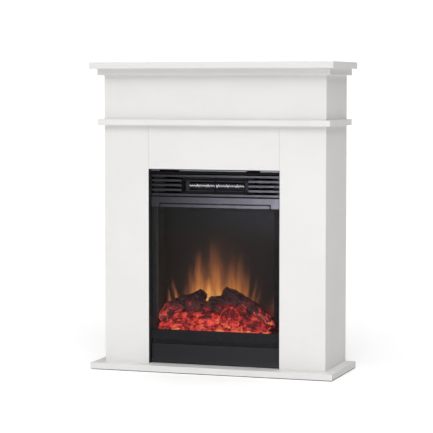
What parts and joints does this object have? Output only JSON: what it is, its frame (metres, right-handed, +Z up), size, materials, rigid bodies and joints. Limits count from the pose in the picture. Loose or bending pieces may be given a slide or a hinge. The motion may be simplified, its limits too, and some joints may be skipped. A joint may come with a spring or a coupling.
{
  "type": "electric fireplace",
  "caption": "Free-standing electric fireplace: painted board surround with a glazed fire insert, log fuel bed, flame spindle, fan heater and a drop-down control flap.",
  "frame": {"origin": "middle of the footprint on the floor", "axes": "+Z up, +Y towards the wall, -Y is the front, +X to the right seen from the front"},
  "size_m": [0.816, 0.302, 1],
  "materials": {
    "surround": "white lacquer on medium density board, satin",
    "glide_plastic": "moulded",
    "zinc_steel": "zinc plated",
    "black_steel": "matt black powder coat",
    "trim_steel": "satin dark grey",
    "grille_black": "satin black",
    "fascia_black": "semi-gloss black",
    "glass": "clear toughened glass",
    "black_plastic": "moulded",
    "switch_red": "translucent red rocker",
    "knob_grey": "moulded",
    "circuit_green": "solder resist",
    "ember_resin": "translucent resin, painted black on its ridges",
    "bark_resin": "painted resin logs",
    "led_board": "white board with warm diodes",
    "flame_screen": "smoked diffusing screen",
    "bright_foil": "bright",
    "bush_brass": "sintered",
    "element_glow": "mica frame with a bright ribbon",
    "impeller_aluminium": "plain",
    "motor_steel": "laminated"
  },
  "bodies": {
    "surround": {"top_board": "surround", "cornice_board": "surround", "frieze_front": "surround", "frieze_left": "surround", "frieze_right": "surround", "mid_shelf": "surround", "left_pilaster": "surround", "right_pilaster": "surround", "centre_panel": "surround", "left_side_panel": "surround", "right_side_panel": "surround", "left_cheek": "surround", "right_cheek": "surround", "plinth_board": "surround", "rear_rail": "surround", "glides": "glide_plastic", "wall_brackets": "zinc_steel", "assembly_screws": "zinc_steel", "firebox_case": "black_steel", "rear_cover": "black_steel", "head_trim": "trim_steel", "louvre_grille": "grille_black", "header_strip": "fascia_black", "glass_retainer": "fascia_black", "window_glass": "glass", "left_jamb": "black_steel", "right_jamb": "black_steel", "front_ledge": "fascia_black", "insert_brackets": "zinc_steel", "machine_screws": "zinc_steel", "wood_screws": "zinc_steel", "cable_gland": "black_plastic", "flap_hinge_pins": "zinc_steel", "flap_catches": "zinc_steel", "control_plate": "black_steel", "switch_housings": "black_plastic", "rotary_controls": "zinc_steel", "control_board": "circuit_green", "ember_bed": "ember_resin", "left_log": "bark_resin", "right_log": "bark_resin", "round_log": "ember_resin", "front_logs": "ember_resin", "led_strips": "led_board", "flame_screen": "flame_screen", "flame_mask": "zinc_steel", "flicker_motor": "zinc_steel", "shaft_bushes": "bush_brass", "heater_housing": "zinc_steel", "heating_element": "element_glow", "fan_motor": "motor_steel", "thermal_cutout": "black_plastic"},
    "flap": {"access_flap": "fascia_black"},
    "power_rocker": {"power_switch": "switch_red"},
    "low_rocker": {"low_heat_switch": "black_plastic"},
    "high_rocker": {"high_heat_switch": "black_plastic"},
    "thermostat": {"thermostat_knob": "knob_grey"},
    "dimmer": {"dimmer_knob": "knob_grey"},
    "flicker_rotor": {"flicker_spindle": "bright_foil"},
    "fan_rotor": {"fan_impeller": "impeller_aluminium"}
  },
  "joints": [
    {"name": "flap_hinge", "type": "hinge", "parent": "surround", "child": "flap", "pos_m": [0, -0.0855, 0.0295], "axis": [1, 0, 0], "range_deg": [0, 88]},
    {"name": "power_switch_rock", "type": "hinge", "parent": "surround", "child": "power_rocker", "pos_m": [0.02, -0.071, 0.056], "axis": [1, 0, 0], "range_deg": [0, 14]},
    {"name": "low_switch_rock", "type": "hinge", "parent": "surround", "child": "low_rocker", "pos_m": [0.055, -0.071, 0.056], "axis": [1, 0, 0], "range_deg": [0, 14]},
    {"name": "high_switch_rock", "type": "hinge", "parent": "surround", "child": "high_rocker", "pos_m": [0.09, -0.071, 0.056], "axis": [1, 0, 0], "range_deg": [0, 14]},
    {"name": "thermostat_turn", "type": "hinge", "parent": "surround", "child": "thermostat", "pos_m": [-0.11, -0.072, 0.056], "axis": [0, -1, 0], "range_deg": [-270, 0]},
    {"name": "dimmer_turn", "type": "hinge", "parent": "surround", "child": "dimmer", "pos_m": [-0.05, -0.072, 0.056], "axis": [0, -1, 0], "range_deg": [-270, 0]},
    {"name": "flicker_spin", "type": "hinge", "parent": "surround", "child": "flicker_rotor", "pos_m": [0, 0.052, 0.13], "axis": [1, 0, 0], "continuous": true},
    {"name": "fan_spin", "type": "hinge", "parent": "surround", "child": "fan_rotor", "pos_m": [0, -0.022, 0.603], "axis": [1, 0, 0], "continuous": true}
  ]
}
